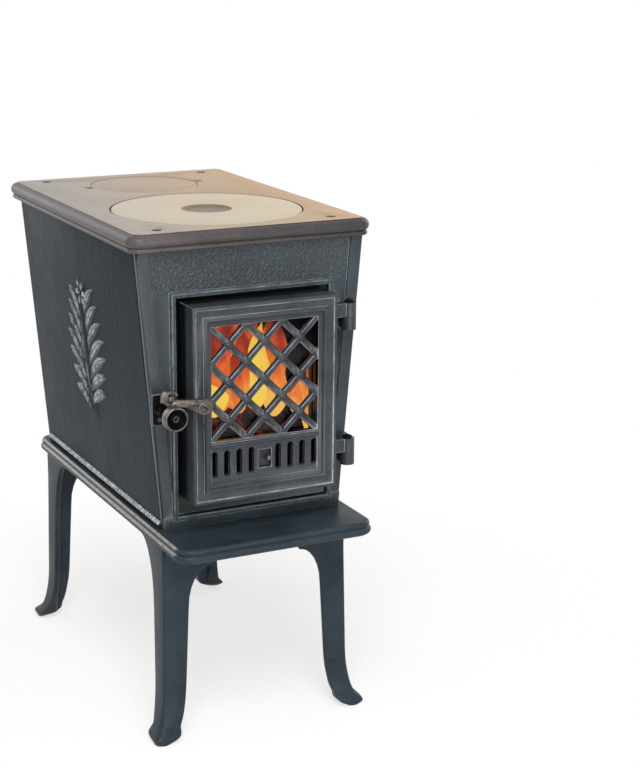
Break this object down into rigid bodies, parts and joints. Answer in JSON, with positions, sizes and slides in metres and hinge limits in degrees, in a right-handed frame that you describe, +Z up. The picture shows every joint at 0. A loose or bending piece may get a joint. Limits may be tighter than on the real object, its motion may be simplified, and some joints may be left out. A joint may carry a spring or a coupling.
{
  "type": "wood stove",
  "caption": "Small cast-iron box stove on curved legs, with a lattice window door, latch, air slide, cooking lid and rear flue collar.",
  "frame": {"origin": "on the floor, under the middle of the overall width and the overall depth", "axes": "+Z up from the floor to the cooking surface, -Y out of the door, +Y out of the rear flue collar, +X towards the door's hinges"},
  "size_m": [0.32, 0.538, 0.64],
  "materials": {
    "body_enamel": "satin blue-black enamel on cast iron",
    "door_enamel": "satin blue-black enamel on cast iron",
    "top_enamel": "satin warm grey enamel on cast iron",
    "lid_iron": "satin pale enamel on cast iron",
    "fixing_steel": "dulled zinc",
    "burnt_iron": "sooted",
    "firewood": "bark and charred wood",
    "rope_seal": "woven glass fibre",
    "fire_glass": "clear glass ceramic",
    "sheet_steel": "dull rolled sheet",
    "latch_metal": "dark turned and forged metal",
    "hinge_steel": "dark steel"
  },
  "bodies": {
    "stove": {"base_plate": "body_enamel", "leg_front_left": "body_enamel", "leg_front_right": "body_enamel", "leg_rear_left": "body_enamel", "leg_rear_right": "body_enamel", "leg_bolts": "fixing_steel", "side_plate_left": "body_enamel", "side_plate_right": "body_enamel", "front_plate": "body_enamel", "rear_plate": "body_enamel", "top_plate": "top_enamel", "top_screws": "fixing_steel", "base_screws": "fixing_steel", "outlet_cover": "top_enamel", "outlet_cover_screws": "fixing_steel", "flue_collar": "body_enamel", "collar_bolts": "fixing_steel", "fire_bottom": "burnt_iron", "burn_plate_left": "burnt_iron", "burn_plate_right": "burnt_iron", "burn_plate_rear": "burnt_iron", "baffle_plate": "burnt_iron", "log_retainer": "burnt_iron", "firewood": "firewood", "hinge_pin_upper": "hinge_steel", "hinge_pin_lower": "hinge_steel", "latch_keeper": "hinge_steel", "keeper_screw": "fixing_steel"},
    "door": {"door": "door_enamel", "door_gasket": "rope_seal", "window_gasket": "rope_seal", "door_glass": "fire_glass", "glass_clips": "sheet_steel", "glass_clip_screws": "fixing_steel", "slide_guides": "sheet_steel", "guide_rivets": "fixing_steel", "latch_washer": "latch_metal", "latch_pivot_screw": "latch_metal"},
    "latch": {"latch_lever": "latch_metal", "latch_knob": "latch_metal"},
    "air_control": {"air_slide": "sheet_steel", "air_slide_knob": "latch_metal"},
    "lid": {"cooking_lid": "lid_iron"}
  },
  "joints": [
    {"name": "door_hinge", "type": "hinge", "parent": "stove", "child": "door", "pos_m": [0.1225, -0.205, 0.43], "axis": [0, 0, 1], "range_deg": [0, 120]},
    {"name": "latch_turn", "type": "hinge", "parent": "door", "child": "latch", "pos_m": [-0.087, -0.234, 0.4388], "axis": [0, 1, 0], "range_deg": [-12, 40]},
    {"name": "air_slide", "type": "slide", "parent": "door", "child": "air_control", "axis": [1, 0, 0], "range_m": [-0.0081, 0]},
    {"name": "lid_lift", "type": "slide", "parent": "stove", "child": "lid", "axis": [0, 0, 1], "range_m": [0, 0.06]}
  ]
}
